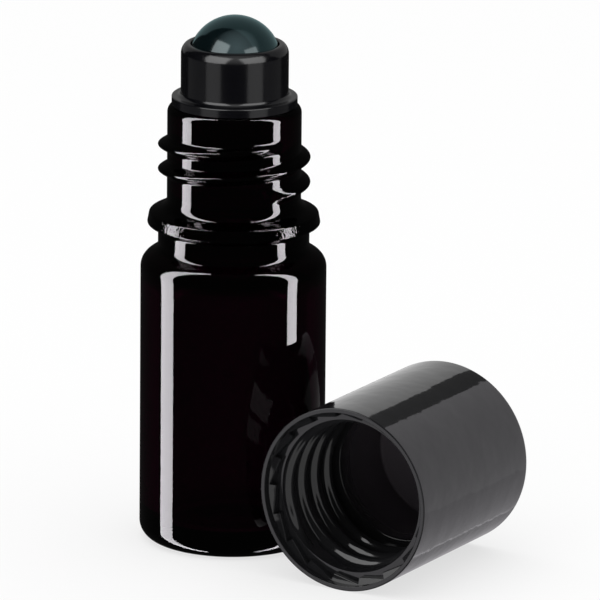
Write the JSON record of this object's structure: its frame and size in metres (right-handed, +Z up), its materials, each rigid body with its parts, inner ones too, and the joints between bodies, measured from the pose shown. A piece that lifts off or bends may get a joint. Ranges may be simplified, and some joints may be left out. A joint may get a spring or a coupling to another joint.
{
  "type": "roll on bottle",
  "caption": "Small dark glass roll-on bottle with a screw neck, a roller ball in a pressed-in fitting, and its smooth screw cap lying beside it.",
  "frame": {"origin": "centre of the bottle's base, on the surface that the bottle stands on", "axes": "+Z up along the bottle's axis; the cap lies along Y on the +X side, with its mouth towards -Y"},
  "size_m": [0.0445, 0.0252, 0.0636],
  "materials": {
    "violet_black_glass": "glossy moulded glass, nearly opaque violet black",
    "holder_black_plastic": "satin black moulded plastic",
    "ball_dark_teal": "polished dark teal black",
    "cap_black_plastic": "glossy black moulded plastic"
  },
  "bodies": {
    "bottle": {"glass_bottle": "violet_black_glass", "ball_holder": "holder_black_plastic"},
    "ball": {"roller_ball": "ball_dark_teal"},
    "cap": {"screw_cap": "cap_black_plastic"}
  },
  "joints": [
    {"name": "ball_roll", "type": "hinge", "parent": "bottle", "child": "ball", "pos_m": [0, 0, 0.05806], "axis": [1, 0, 0], "continuous": true},
    {"name": "cap_lift", "type": "slide", "parent": "bottle", "child": "cap", "axis": [0, 0, 1], "range_m": [0, 0.08]}
  ]
}
